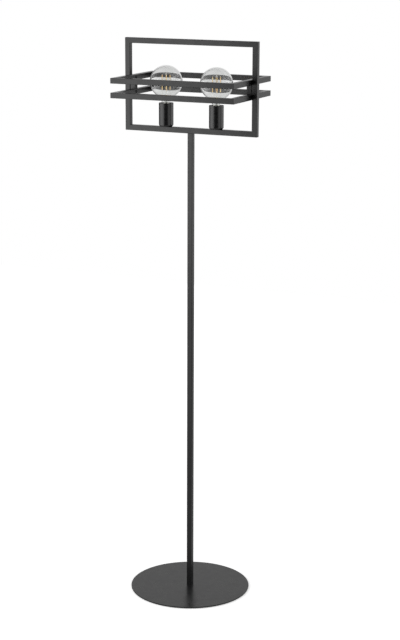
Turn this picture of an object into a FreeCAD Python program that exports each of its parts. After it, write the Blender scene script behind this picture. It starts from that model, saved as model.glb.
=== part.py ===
import FreeCAD, Part
import math
import os
import Sketcher

# Wire cage floor lamp in millimetres, standing on its pads at the origin, +Z up.
# +X runs along the long side of the cage and +Y points to the back.
# A thin round base carries a square pole. On the pole stands an upright rectangular
# frame of the same tube, and two flat rectangular frames lie across it, one above the
# other, between its posts. Two lampholders stand on the bottom rail, each with a
# clear globe bulb that screws in.

# Driving sizes

SIZES = {
    # Square steel tube of the pole and of every frame
    "tube_width": 16.0,
    "tube_wall": 1.2,
    "tube_corner": 1.2,
    # Round base plate and the pads under it
    "base_diameter": 365.0,
    "base_thickness": 4.0,
    "base_edge": 0.8,
    "pad_diameter": 18.0,
    "pad_thickness": 2.0,
    "pad_inset": 20.0,
    "pad_count": 6,
    # Pole, from the base plate to the underside of the upright frame
    "pole_length": 1406.0,
    # Plug in the foot of the pole and the countersunk screw through the base plate
    "plug_clearance": 0.1,
    "foot_plug_length": 25.0,
    "foot_screw_diameter": 6.0,
    "foot_screw_length": 20.0,
    "foot_screw_head": 12.0,
    "foot_screw_head_height": 3.3,
    "foot_screw_key": 4.0,
    "foot_screw_key_depth": 2.0,
    "screw_clearance": 0.1,
    # Spigot under the bottom rail, held in the top of the pole by a grub screw
    "spigot_length": 40.0,
    "cable_bore": 8.0,
    "grub_diameter": 5.0,
    "grub_length": 3.2,
    "grub_drop": 20.0,
    "grub_key": 2.5,
    "grub_key_depth": 1.5,
    # Cable outlet in the back of the pole
    "outlet_height": 60.0,
    "outlet_hole": 9.0,
    "outlet_bore": 6.6,
    "outlet_flange": 12.0,
    "outlet_flange_thickness": 2.0,
    "outlet_lip": 10.4,
    "outlet_lip_thickness": 1.2,
    "outlet_clearance": 0.1,
    # Upright frame and the two flat frames between its posts
    "frame_length": 421.0,
    "frame_height": 271.0,
    "flat_frame_depth": 271.0,
    "lower_frame_height": 105.5,
    "spacer_height": 26.0,
    # Rivet nuts in the posts and the screws through the flat frames
    "rivet_flange": 9.0,
    "rivet_flange_thickness": 1.0,
    "rivet_barrel": 6.0,
    "rivet_length": 8.0,
    "cage_screw_diameter": 4.0,
    "cage_screw_length": 24.0,
    "cage_screw_head": 8.0,
    "cage_screw_head_height": 2.6,
    "screw_hole_clearance": 0.25,
    # Lampholder cup and the threaded nipple and nut that hold it on the rail
    "holder_spacing": 161.0,
    "cup_diameter": 43.0,
    "cup_height": 69.0,
    "cup_wall": 1.0,
    "cup_edge": 6.5,
    "nipple_diameter": 10.0,
    "nipple_bore": 7.0,
    "nipple_height": 12.0,
    "nipple_drop": 3.0,
    "nut_width": 14.0,
    "nut_thickness": 3.0,
    # Insulating base and sleeve, screw shell and contact tongue of the lampholder
    "holder_base_diameter": 34.0,
    "holder_base_height": 18.0,
    "channel_roof": 4.0,
    "sleeve_gap": 1.0,
    "sleeve_rim_drop": 1.0,
    "sleeve_bore": 22.0,
    "shell_length": 20.0,
    "shell_drop": 2.0,
    "shell_wall": 0.5,
    "tongue_width": 6.0,
    "tongue_thickness": 0.5,
    "tongue_reach": 9.0,
    "tongue_foot": 7.0,
    "tongue_leaf": 14.0,
    # Globe bulb, measured from the underside of its centre contact
    "contact_height": 42.5,
    "contact_gap": 0.3,
    "bulb_length": 136.0,
    "globe_diameter": 96.0,
    "glass_wall": 0.9,
    "neck_diameter": 25.0,
    "neck_blend": 25.0,
    "neck_depth": 11.0,
    "cap_diameter": 26.2,
    "cap_clearance": 0.4,
    "cap_height": 27.0,
    "cap_wall": 0.3,
    "cap_bead": 1.0,
    "contact_diameter": 9.5,
    "contact_thickness": 1.5,
    "insulator_diameter": 19.0,
    "insulator_height": 4.5,
    "driver_diameter": 18.0,
    "driver_height": 9.0,
    # Glass stem, filaments and the wires that hold them
    "stem_diameter": 5.0,
    "stem_flare_height": 8.0,
    "filament_length": 50.0,
    "filament_diameter": 2.4,
    "filament_ring": 23.0,
    "filament_count": 4,
    "filament_drop": 2.0,
    "filament_turn": 30.5,
    "filament_wire": 0.8,
    # Connector in the bottom rail and the leads from it to the lampholders
    "connector_length": 16.0,
    "connector_width": 10.0,
    "connector_height": 10.0,
    "lead_diameter": 2.6,
    "lead_bend": 8.0,
}

document = FreeCAD.newDocument("floor_lamp")
sheet = document.addObject("Spreadsheet::Sheet", "Sizes")
for row, (alias, number) in enumerate(SIZES.items(), start=1):
    sheet.set("A%d" % row, alias)
    sheet.set("B%d" % row, str(number))
    sheet.setAlias("B%d" % row, alias)
document.recompute()


# Lengths as numbers and as sheet formulas

class Length:
    """A length, known both as a number and as the sheet formula that gives it."""

    def __init__(self, text, number):
        self.text = text
        self.number = number

    def __add__(self, other):
        other = length(other)
        return Length("(%s + %s)" % (self.text, other.text), self.number + other.number)

    def __sub__(self, other):
        other = length(other)
        return Length("(%s - %s)" % (self.text, other.text), self.number - other.number)

    def __mul__(self, other):
        other = length(other)
        return Length("(%s * %s)" % (self.text, other.text), self.number * other.number)

    def __truediv__(self, other):
        other = length(other)
        return Length("(%s / %s)" % (self.text, other.text), self.number / other.number)

    def __neg__(self):
        return Length("(0 - %s)" % self.text, -self.number)


def length(value):
    """Return the value as a Length, so that plain numbers mix with sheet sizes."""
    if isinstance(value, Length):
        return value
    return Length(repr(float(value)), float(value))


def size(alias):
    """Return a driving size from the sheet."""
    return Length("Sizes." + alias, float(SIZES[alias]))


def root(value):
    """Return the square root of a Length."""
    return Length("sqrt(%s)" % value.text, math.sqrt(value.number))


# Lengths and heights that several pieces share

ZERO = length(0)
tube_width = size("tube_width")
tube_wall = size("tube_wall")
tube_inside = tube_width - tube_wall * 2
plug_width = tube_inside - size("plug_clearance") * 2

base_top = size("pad_thickness") + size("base_thickness")
frame_floor = base_top + size("pole_length")
frame_middle = frame_floor + size("frame_height") / 2
rail_top = frame_floor + tube_width

post_inner_x = size("frame_length") / 2 - tube_width
flat_frame_length = (post_inner_x - size("rivet_flange_thickness")) * 2
lower_frame_middle = frame_floor + size("lower_frame_height") + tube_width / 2
upper_frame_middle = lower_frame_middle + tube_width + size("spacer_height")
short_bar_x = flat_frame_length / 2 - tube_width / 2

cup_floor = rail_top + size("cup_wall")
holder_base_floor = cup_floor + size("nut_thickness")
sleeve_floor = holder_base_floor + size("holder_base_height")
sleeve_top = rail_top + size("cup_height") - size("sleeve_rim_drop")
sleeve_height = sleeve_top - sleeve_floor
shell_inner_radius = size("cap_diameter") / 2 + size("cap_clearance")
shell_outer_radius = shell_inner_radius + size("shell_wall")
shell_floor = sleeve_top - size("shell_drop") - size("shell_length")

bulb_floor = rail_top + size("contact_height")
cap_radius = size("cap_diameter") / 2
insulator_floor = size("contact_thickness") + size("screw_clearance")
insulator_top = insulator_floor + size("insulator_height")
neck_floor = size("cap_height") - size("neck_depth")
globe_centre = size("bulb_length") - size("globe_diameter") / 2
filament_middle = globe_centre - size("filament_drop")
filament_floor = filament_middle - size("filament_length") / 2
filament_top = filament_middle + size("filament_length") / 2


# Building blocks

parts = []


def place(thing, x, y, z, rotation=None):
    """Put a sub-part at x, y, z with every coordinate bound to the sheet."""
    if rotation is not None:
        thing.Placement = FreeCAD.Placement(FreeCAD.Vector(), rotation)
    for axis, value in (("x", x), ("y", y), ("z", z)):
        thing.setExpression("Placement.Base." + axis, length(value).text)


def new_body(name, x=ZERO, y=ZERO, z=ZERO, rotation=None, kept=True):
    """Start a sub-part and note it for writing, unless it only joins a group."""
    body = document.addObject("PartDesign::Body", name)
    body.Label = name
    body.AllowCompound = True
    place(body, x, y, z, rotation)
    if kept:
        parts.append(body)
    return body


def new_sketch(body, name, role, offset=None):
    """Start a sketch on one of the body's own origin planes, moved along its normal."""
    plane = [feature for feature in body.Origin.OriginFeatures if feature.Role == role][0]
    sketch = body.newObject("Sketcher::SketchObject", body.Name + "_" + name)
    sketch.AttachmentSupport = [(plane, "")]
    sketch.MapMode = "FlatFace"
    if offset is not None:
        sketch.setExpression("AttachmentOffset.Base.z", offset.text)
    return sketch


def bind(sketch, kind, references, value, name):
    """Add one dimension to a sketch and bind it to the sheet."""
    number = sketch.addConstraint(Sketcher.Constraint(kind, *references, value.number))
    sketch.renameConstraint(number, name)
    sketch.setExpression("Constraints." + name, value.text)


def bind_point(sketch, edge, end, x, y, name):
    """Fix one end or centre of a sketch edge at x, y."""
    if x.number == 0:
        sketch.addConstraint(Sketcher.Constraint("PointOnObject", edge, end, -2))
    else:
        bind(sketch, "DistanceX", (-1, 1, edge, end), x, name + "_x")
    if y.number == 0:
        sketch.addConstraint(Sketcher.Constraint("PointOnObject", edge, end, -1))
    else:
        bind(sketch, "DistanceY", (-1, 1, edge, end), y, name + "_y")


def add_outline(sketch, corners, name="corner"):
    """Draw a closed outline of straight edges through the corners."""
    corners = [(length(x), length(y)) for x, y in corners]
    spots = [FreeCAD.Vector(x.number, y.number, 0) for x, y in corners]
    first = sketch.GeometryCount
    count = len(spots)
    for index in range(count):
        sketch.addGeometry(Part.LineSegment(spots[index], spots[(index + 1) % count]), False)
    for index in range(count):
        before = first + (index - 1) % count
        sketch.addConstraint(Sketcher.Constraint("Coincident", before, 2, first + index, 1))
        bind_point(sketch, first + index, 1, *corners[index], "%s%d" % (name, index))


def add_rectangle(sketch, width, height, name="side"):
    """Draw a rectangle about the sketch's origin."""
    right = width / 2
    top = height / 2
    add_outline(sketch, [(-right, -top), (right, -top), (right, top), (-right, top)], name)


def add_circle(sketch, diameter, x=ZERO, y=ZERO, name="circle"):
    """Draw a circle with its centre at x, y."""
    x = length(x)
    y = length(y)
    centre = FreeCAD.Vector(x.number, y.number, 0)
    circle = Part.Circle(centre, FreeCAD.Vector(0, 0, 1), diameter.number / 2)
    edge = sketch.addGeometry(circle, False)
    bind(sketch, "Diameter", (edge,), diameter, name + "_diameter")
    bind_point(sketch, edge, 3, x, y, name)


def pad(body, sketch, depth, middle=False):
    """Raise a sketch into a solid, from its plane or evenly about it."""
    feature = body.newObject("PartDesign::Pad", sketch.Name + "_pad")
    feature.Profile = sketch
    feature.SideType = "Symmetric" if middle else "One side"
    feature.setExpression("Length", depth.text)
    sketch.Visibility = False
    body.Tip = feature
    document.recompute()
    return feature


def cut(body, sketch, middle=False, turned=False, depth=None):
    """Cut a sketch out of the solid, right through it unless a depth is given."""
    before = body.Shape.Volume
    feature = body.newObject("PartDesign::Pocket", sketch.Name + "_cut")
    feature.Profile = sketch
    feature.SideType = "Symmetric" if middle else "One side"
    feature.Reversed = turned
    if depth is None:
        feature.Type = "ThroughAll"
    else:
        feature.Type = "Length"
        feature.setExpression("Length", depth.text)
    body.Tip = feature
    document.recompute()
    if body.Shape.Volume >= before:
        raise ValueError("%s cut nothing away" % feature.Name)
    return feature


def revolve(body, sketch):
    """Turn a sketch on the XZ plane about the body's Z axis."""
    feature = body.newObject("PartDesign::Revolution", sketch.Name + "_turned")
    feature.Profile = sketch
    feature.ReferenceAxis = (sketch, ["V_Axis"])
    feature.Angle = 360
    body.Tip = feature
    document.recompute()
    return feature


def turned(name, corners, x=ZERO, y=ZERO, z=ZERO, rotation=None, kept=True):
    """Make a round piece from half of its section, given as radius and height."""
    body = new_body(name, x, y, z, rotation, kept)
    sketch = new_sketch(body, "section", "XZ_Plane")
    add_outline(sketch, corners)
    revolve(body, sketch)
    return body


def round_edges(body, radius, chosen, name):
    """Round the edges of the solid that the test chooses."""
    tip = body.Tip
    names = ["Edge%d" % (index + 1) for index, edge in enumerate(tip.Shape.Edges) if chosen(edge)]
    if not names:
        raise ValueError("%s has no edge to round" % body.Name)
    feature = body.newObject("PartDesign::Fillet", body.Name + "_" + name)
    feature.Base = (tip, names)
    feature.setExpression("Radius", radius.text)
    body.Tip = feature
    document.recompute()
    return feature


def repeat_round(body, features, count):
    """Repeat features evenly about the body's Z axis."""
    axis = [feature for feature in body.Origin.OriginFeatures if feature.Role == "Z_Axis"][0]
    pattern = body.newObject("PartDesign::PolarPattern", body.Name + "_pattern")
    pattern.Originals = features
    pattern.Axis = (axis, [""])
    pattern.Angle = 360
    pattern.setExpression("Occurrences", count.text)
    body.Tip = pattern
    document.recompute()
    return pattern


def group(name, members):
    """Join identical fasteners, each its own solid, into one sub-part."""
    compound = document.addObject("Part::Compound", name)
    compound.Label = name
    compound.Links = members
    parts.append(compound)


def lies_along_x(edge):
    """Tell whether an edge is straight and runs along the body's X axis."""
    box = edge.BoundBox
    return box.YLength < 0.01 and box.ZLength < 0.01


def circle_at(radius, height):
    """Return a test for the circle of that radius at that height."""
    def chosen(edge):
        if not isinstance(edge.Curve, Part.Circle):
            return False
        same_radius = abs(edge.Curve.Radius - radius.number) < 0.01
        return same_radius and abs(edge.Curve.Center.z - height.number) < 0.01
    return chosen


# Square tube, made along the body's X axis

X_AXIS = FreeCAD.Vector(1, 0, 0)
Y_AXIS = FreeCAD.Vector(0, 1, 0)
Z_AXIS = FreeCAD.Vector(0, 0, 1)


def flat_turn(degrees):
    """Turn a tube of a flat frame about Z."""
    return FreeCAD.Rotation(Z_AXIS, degrees)


def upright_turn(degrees):
    """Stand a tube in the upright frame, then turn it about Y."""
    return FreeCAD.Rotation(Y_AXIS, degrees) * FreeCAD.Rotation(X_AXIS, 90)


STANDING = FreeCAD.Rotation(Y_AXIS, -90)


def square_tube(name, tube_length, x, y, z, rotation, mitred):
    """Make a square tube about its middle. A mitred one is longest at its -Y face."""
    body = new_body(name, x, y, z, rotation)
    outside = new_sketch(body, "outside", "YZ_Plane")
    add_rectangle(outside, tube_width, tube_width)
    pad(body, outside, tube_length, middle=True)
    round_edges(body, size("tube_corner"), lies_along_x, "corners")
    inside = new_sketch(body, "inside", "YZ_Plane")
    add_rectangle(inside, tube_inside, tube_inside)
    cut(body, inside, middle=True)
    if mitred:
        end = tube_length / 2
        side = tube_width / 2
        ends = new_sketch(body, "mitres", "XY_Plane")
        right = [(end, -side), (end, side), (end - tube_width, side)]
        left = [(-end, -side), (tube_width - end, side), (-end, side)]
        add_outline(ends, right, "right")
        add_outline(ends, left, "left")
        cut(body, ends, middle=True)
    return body


def side_holes(body, name, diameter, positions, towards_inside=True, both_walls=False):
    """Drill the tube along Y at the positions along X, through one wall or both."""
    sketch = new_sketch(body, name, "XZ_Plane")
    for index, position in enumerate(positions):
        add_circle(sketch, diameter, position, ZERO, "hole%d" % index)
    cut(body, sketch, middle=both_walls, turned=not towards_inside)


# Base plate, pads and pole foot

def make_base():
    """Round plate with a countersunk hole in its middle for the pole's screw."""
    body = new_body("base_plate", z=size("pad_thickness"))
    sketch = new_sketch(body, "disc", "XY_Plane")
    add_circle(sketch, size("base_diameter"))
    pad(body, sketch, size("base_thickness"))
    rim = size("base_diameter") / 2
    top_rim = circle_at(rim, size("base_thickness"))
    bottom_rim = circle_at(rim, ZERO)
    round_edges(body, size("base_edge"), lambda edge: top_rim(edge) or bottom_rim(edge), "rim")
    hole = size("foot_screw_diameter") / 2 + size("screw_hole_clearance")
    sink = size("foot_screw_head") / 2 + size("screw_hole_clearance")
    section = new_sketch(body, "screw_hole", "XZ_Plane")
    add_outline(section, [
        (ZERO, ZERO),
        (sink, ZERO),
        (hole, sink - hole),
        (hole, size("base_thickness")),
        (ZERO, size("base_thickness")),
    ])
    before = body.Shape.Volume
    groove = body.newObject("PartDesign::Groove", "base_plate_countersink")
    groove.Profile = section
    groove.ReferenceAxis = (section, ["V_Axis"])
    groove.Angle = 360
    body.Tip = groove
    document.recompute()
    if body.Shape.Volume >= before:
        raise ValueError("the countersink cut nothing away")


def make_pads():
    """Round pads near the rim that the lamp stands on."""
    body = new_body("base_pads")
    sketch = new_sketch(body, "pad", "XY_Plane")
    add_circle(sketch, size("pad_diameter"), size("base_diameter") / 2 - size("pad_inset"))
    feature = pad(body, sketch, size("pad_thickness"))
    repeat_round(body, [feature], size("pad_count"))


def make_pole_foot():
    """Steel plug in the pole's foot and the countersunk screw that holds it down."""
    plug = new_body("foot_plug", z=base_top)
    sketch = new_sketch(plug, "block", "XY_Plane")
    add_rectangle(sketch, plug_width, plug_width)
    pad(plug, sketch, size("foot_plug_length"))
    hole = new_sketch(plug, "thread", "XY_Plane")
    add_circle(hole, size("foot_screw_diameter"))
    cut(plug, hole, turned=True)

    shank = size("foot_screw_diameter") / 2 - size("screw_clearance")
    head = size("foot_screw_head") / 2
    key = size("foot_screw_key") / 2
    cone = head - shank
    rim = size("foot_screw_head_height") - cone
    turned("foot_screw", [
        (key, ZERO),
        (head, ZERO),
        (head, rim),
        (shank, size("foot_screw_head_height")),
        (shank, size("foot_screw_length")),
        (ZERO, size("foot_screw_length")),
        (ZERO, size("foot_screw_key_depth")),
        (key, size("foot_screw_key_depth")),
    ], z=size("pad_thickness"))


def make_pole():
    """One square tube from the base to the cage, drilled twice in its back face."""
    pole_length = size("pole_length")
    middle = base_top + pole_length / 2
    body = square_tube("pole", pole_length, ZERO, ZERO, middle, STANDING, mitred=False)
    outlet = size("outlet_height") - pole_length / 2
    side_holes(body, "outlet", size("outlet_hole"), [outlet])
    grub = pole_length / 2 - size("grub_drop")
    side_holes(body, "grub", size("grub_diameter"), [grub])


def make_outlet():
    """Rubber grommet in the back of the pole, with a flange outside and a lip inside."""
    outer_face = tube_width / 2
    flange = size("outlet_flange_thickness")
    lip_start = -tube_wall - size("outlet_clearance")
    lip_end = lip_start - size("outlet_lip_thickness")
    neck = size("outlet_hole") / 2 - size("outlet_clearance")
    bore = size("outlet_bore") / 2
    lip = size("outlet_lip") / 2
    backwards = FreeCAD.Rotation(X_AXIS, -90)
    turned("cable_grommet", [
        (bore, lip_end),
        (lip, lip_end),
        (lip, lip_start),
        (neck, lip_start),
        (neck, ZERO),
        (size("outlet_flange") / 2, ZERO),
        (size("outlet_flange") / 2, flange / 2),
        (size("outlet_flange") / 2 - flange / 2, flange),
        (bore, flange),
    ], y=outer_face, z=base_top + size("outlet_height"), rotation=backwards)


def make_spigot():
    """Square spigot welded under the bottom rail, with its cable bore and grub screw."""
    body = new_body("head_spigot", z=frame_floor - size("spigot_length"))
    sketch = new_sketch(body, "block", "XY_Plane")
    add_rectangle(sketch, plug_width, plug_width)
    pad(body, sketch, size("spigot_length"))
    bore = new_sketch(body, "bore", "XY_Plane")
    add_circle(bore, size("cable_bore"))
    cut(body, bore, turned=True)
    thread = new_sketch(body, "thread", "XZ_Plane")
    grub_height = size("spigot_length") - size("grub_drop")
    add_circle(thread, size("grub_diameter"), ZERO, grub_height)
    cut(body, thread)

    radius = size("grub_diameter") / 2 - size("screw_clearance")
    key = size("grub_key") / 2
    key_floor = size("grub_length") - size("grub_key_depth")
    backwards = FreeCAD.Rotation(X_AXIS, -90)
    turned("head_grub_screw", [
        (ZERO, ZERO),
        (radius, ZERO),
        (radius, size("grub_length")),
        (key, size("grub_length")),
        (key, key_floor),
        (ZERO, key_floor),
    ], y=tube_width / 2 - size("grub_length"), z=frame_floor - size("grub_drop"),
        rotation=backwards)


# Cage

def make_upright_frame():
    """Four mitred tubes in one upright plane: two rails and two posts."""
    length_over_all = size("frame_length")
    height = size("frame_height")
    rail_shift = height / 2 - tube_width / 2
    post_shift = length_over_all / 2 - tube_width / 2

    bottom = square_tube("bottom_rail", length_over_all, ZERO, ZERO, frame_middle - rail_shift,
                         upright_turn(0), mitred=True)
    holder_x = size("holder_spacing") / 2
    nipple_hole = size("nipple_diameter") + size("screw_clearance") * 2
    side_holes(bottom, "nipples", nipple_hole, [-holder_x, holder_x])
    side_holes(bottom, "cable", size("cable_bore"), [ZERO], towards_inside=False)

    square_tube("top_rail", length_over_all, ZERO, ZERO, frame_middle + rail_shift,
                upright_turn(180), mitred=True)

    rivet_hole = size("rivet_barrel") + size("screw_clearance") * 2
    for name, side, degrees in (("left_post", -1, 90), ("right_post", 1, -90)):
        post = square_tube(name, height, post_shift * side, ZERO, frame_middle,
                           upright_turn(degrees), mitred=True)
        heights = [lower_frame_middle - frame_middle, upper_frame_middle - frame_middle]
        side_holes(post, "rivets", rivet_hole, [value * side for value in heights])


def make_flat_frame(level, middle):
    """Four mitred tubes in one level plane, drilled for the screws into the posts."""
    depth = size("flat_frame_depth")
    long_bar_y = depth / 2 - tube_width / 2
    square_tube(level + "_front_bar", flat_frame_length, ZERO, -long_bar_y, middle,
                flat_turn(0), mitred=True)
    square_tube(level + "_back_bar", flat_frame_length, ZERO, long_bar_y, middle,
                flat_turn(180), mitred=True)
    hole = size("cage_screw_diameter") + size("screw_hole_clearance") * 2
    for side_name, side in (("left", -1), ("right", 1)):
        bar = square_tube("%s_%s_bar" % (level, side_name), depth, short_bar_x * side, ZERO,
                          middle, flat_turn(90 * side), mitred=True)
        side_holes(bar, "screw", hole, [ZERO], both_walls=True)


def make_spacers():
    """Short upright tubes that hold the two flat frames apart beside the posts."""
    middle = (lower_frame_middle + upper_frame_middle) / 2
    for side_name, side in (("left", -1), ("right", 1)):
        square_tube(side_name + "_spacer", size("spacer_height"), short_bar_x * side, ZERO,
                    middle, STANDING, mitred=False)


def make_cage_fasteners():
    """Rivet nuts in the posts and the pan-head screws that pull the flat frames to them."""
    head_x = short_bar_x - tube_width / 2
    barrel = size("rivet_barrel") / 2
    flange = size("rivet_flange") / 2
    thread = size("cage_screw_diameter") / 2
    shank = thread - size("screw_clearance")
    head = size("cage_screw_head") / 2
    head_height = size("cage_screw_head_height")
    flange_thickness = size("rivet_flange_thickness")
    screws = []
    rivets = []
    for side_name, side in (("left", -1), ("right", 1)):
        outwards = FreeCAD.Rotation(Y_AXIS, 90 * side)
        for level, height in (("lower", lower_frame_middle), ("upper", upper_frame_middle)):
            screws.append(turned("%s_%s_screw" % (side_name, level), [
                (ZERO, -head_height),
                (head - head_height / 2, -head_height),
                (head, -head_height / 2),
                (head, ZERO),
                (shank, ZERO),
                (shank, size("cage_screw_length")),
                (ZERO, size("cage_screw_length")),
            ], x=head_x * side, z=height, rotation=outwards, kept=False))
            rivets.append(turned("%s_%s_rivet_nut" % (side_name, level), [
                (thread, -flange_thickness),
                (flange, -flange_thickness),
                (flange, ZERO),
                (barrel, ZERO),
                (barrel, size("rivet_length")),
                (thread, size("rivet_length")),
            ], x=post_inner_x * side, z=height, rotation=outwards, kept=False))
    group("cage_screws", screws)
    group("rivet_nuts", rivets)


# Lampholders

def make_holder(side_name, side):
    """Cup on the bottom rail with the lampholder's working pieces inside it."""
    x = size("holder_spacing") / 2 * side
    cup_radius = size("cup_diameter") / 2
    cup_inside = cup_radius - size("cup_wall")
    nipple_radius = size("nipple_diameter") / 2
    nipple_bore = size("nipple_bore") / 2
    nipple_room = nipple_radius + size("screw_clearance")

    cup = turned(side_name + "_cup", [
        (nipple_room, ZERO),
        (cup_radius, ZERO),
        (cup_radius, size("cup_height")),
        (cup_inside, size("cup_height")),
        (cup_inside, size("cup_wall")),
        (nipple_room, size("cup_wall")),
    ], x=x, z=rail_top)
    round_edges(cup, size("cup_edge"), circle_at(cup_radius, ZERO), "outer_edge")
    round_edges(cup, size("cup_edge") - size("cup_wall"),
                circle_at(cup_inside, size("cup_wall")), "inner_edge")

    turned(side_name + "_nipple", [
        (nipple_bore, ZERO),
        (nipple_radius, ZERO),
        (nipple_radius, tube_wall + size("nipple_drop") + size("nipple_height")),
        (nipple_bore, tube_wall + size("nipple_drop") + size("nipple_height")),
    ], x=x, z=rail_top - tube_wall - size("nipple_drop"))

    nut = new_body(side_name + "_nut", x=x, z=cup_floor)
    sketch = new_sketch(nut, "hexagon", "XY_Plane")
    across_corners = size("nut_width") / math.sqrt(3)
    corners = []
    for index in range(6):
        angle = math.radians(60 * index)
        corners.append((across_corners * math.cos(angle), across_corners * math.sin(angle)))
    corners[0] = (across_corners, ZERO)
    corners[3] = (-across_corners, ZERO)
    add_outline(sketch, corners)
    add_circle(sketch, nipple_room * 2)
    pad(nut, sketch, size("nut_thickness"))

    base_radius = size("holder_base_diameter") / 2
    nipple_top = size("nipple_height") - size("cup_wall") - size("nut_thickness")
    hub_depth = nipple_top + size("contact_gap")
    channel_top = size("holder_base_height") - size("channel_roof")
    turned(side_name + "_holder_base", [
        (nipple_room, ZERO),
        (base_radius, ZERO),
        (base_radius, size("holder_base_height")),
        (ZERO, size("holder_base_height")),
        (ZERO, channel_top),
        (nipple_bore, channel_top),
        (nipple_bore, hub_depth),
        (nipple_room, hub_depth),
    ], x=x, z=holder_base_floor)

    sleeve_radius = cup_inside - size("sleeve_gap")
    sleeve_bore = size("sleeve_bore") / 2
    shell_room = shell_outer_radius + size("screw_clearance")
    shoulder = shell_floor - sleeve_floor
    turned(side_name + "_sleeve", [
        (sleeve_bore, ZERO),
        (sleeve_radius, ZERO),
        (sleeve_radius, sleeve_height),
        (shell_room, sleeve_height),
        (shell_room, shoulder),
        (sleeve_bore, shoulder),
    ], x=x, z=sleeve_floor)

    turned(side_name + "_screw_shell", [
        (shell_inner_radius, ZERO),
        (shell_outer_radius, ZERO),
        (shell_outer_radius, size("shell_length")),
        (shell_inner_radius, size("shell_length")),
    ], x=x, z=shell_floor)

    tongue = new_body(side_name + "_tongue", x=x, z=sleeve_floor)
    profile = new_sketch(tongue, "profile", "XZ_Plane")
    thickness = size("tongue_thickness")
    start = -size("tongue_reach")
    top = bulb_floor - sleeve_floor - size("contact_gap")
    add_outline(profile, [
        (start, ZERO),
        (start + size("tongue_foot"), ZERO),
        (start + size("tongue_foot"), thickness),
        (start + thickness, thickness),
        (start + thickness, top - thickness),
        (start + size("tongue_leaf"), top - thickness),
        (start + size("tongue_leaf"), top),
        (start, top),
    ])
    pad(tongue, profile, size("tongue_width"), middle=True)


# Globe bulbs

def add_glass_side(sketch, globe, blend, neck, top, name):
    """Draw one side of the glass, from the axis round the globe down to the neck's end."""
    centres = globe + blend
    across = neck + blend
    drop = root(centres * centres - across * across)
    blend_height = globe_centre - drop
    meeting_x = across * globe / centres
    meeting_y = globe_centre - drop * globe / centres
    globe_point = FreeCAD.Vector(0, globe_centre.number, 0)
    blend_point = FreeCAD.Vector(across.number, blend_height.number, 0)
    up = FreeCAD.Vector(0, 0, 1)
    meeting_angle = math.atan2(meeting_y.number - globe_centre.number, meeting_x.number)
    back_angle = math.pi + meeting_angle
    globe_circle = Part.Circle(globe_point, up, globe.number)
    globe_edge = sketch.addGeometry(
        Part.ArcOfCircle(globe_circle, meeting_angle, math.pi / 2), False)
    blend_circle = Part.Circle(blend_point, up, blend.number)
    blend_edge = sketch.addGeometry(
        Part.ArcOfCircle(blend_circle, back_angle, math.pi), False)
    neck_edge = sketch.addGeometry(Part.LineSegment(
        FreeCAD.Vector(neck.number, blend_height.number, 0),
        FreeCAD.Vector(neck.number, neck_floor.number, 0)), False)
    bind_point(sketch, globe_edge, 3, ZERO, globe_centre, name + "_centre")
    bind(sketch, "Radius", (globe_edge,), globe, name + "_globe")
    sketch.addConstraint(Sketcher.Constraint("PointOnObject", globe_edge, 2, -2))
    sketch.addConstraint(Sketcher.Constraint("Tangent", globe_edge, 1, blend_edge, 1))
    bind(sketch, "Radius", (blend_edge,), blend, name + "_blend")
    sketch.addConstraint(Sketcher.Constraint("Tangent", blend_edge, 2, neck_edge, 1))
    bind_point(sketch, neck_edge, 2, neck, neck_floor, name + "_neck")
    sketch.addConstraint(Sketcher.Constraint("Vertical", neck_edge))
    top_point = FreeCAD.Vector(0, top.number, 0)
    neck_point = FreeCAD.Vector(neck.number, neck_floor.number, 0)
    return globe_edge, neck_edge, top_point, neck_point


def make_glass(name, x):
    """Thin clear globe that draws in to the neck held in the cap."""
    body = new_body(name, x=x, z=bulb_floor)
    sketch = new_sketch(body, "section", "XZ_Plane")
    globe = size("globe_diameter") / 2
    wall = size("glass_wall")
    neck = size("neck_diameter") / 2
    blend = size("neck_blend")
    outer = add_glass_side(sketch, globe, blend, neck, globe_centre + globe, "outer")
    inner = add_glass_side(sketch, globe - wall, blend + wall, neck - wall,
                           globe_centre + globe - wall, "inner")
    crown = sketch.addGeometry(Part.LineSegment(outer[2], inner[2]), False)
    foot = sketch.addGeometry(Part.LineSegment(outer[3], inner[3]), False)
    sketch.addConstraint(Sketcher.Constraint("Coincident", crown, 1, outer[0], 2))
    sketch.addConstraint(Sketcher.Constraint("Coincident", crown, 2, inner[0], 2))
    sketch.addConstraint(Sketcher.Constraint("Coincident", foot, 1, outer[1], 2))
    sketch.addConstraint(Sketcher.Constraint("Coincident", foot, 2, inner[1], 2))
    revolve(body, sketch)


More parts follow.
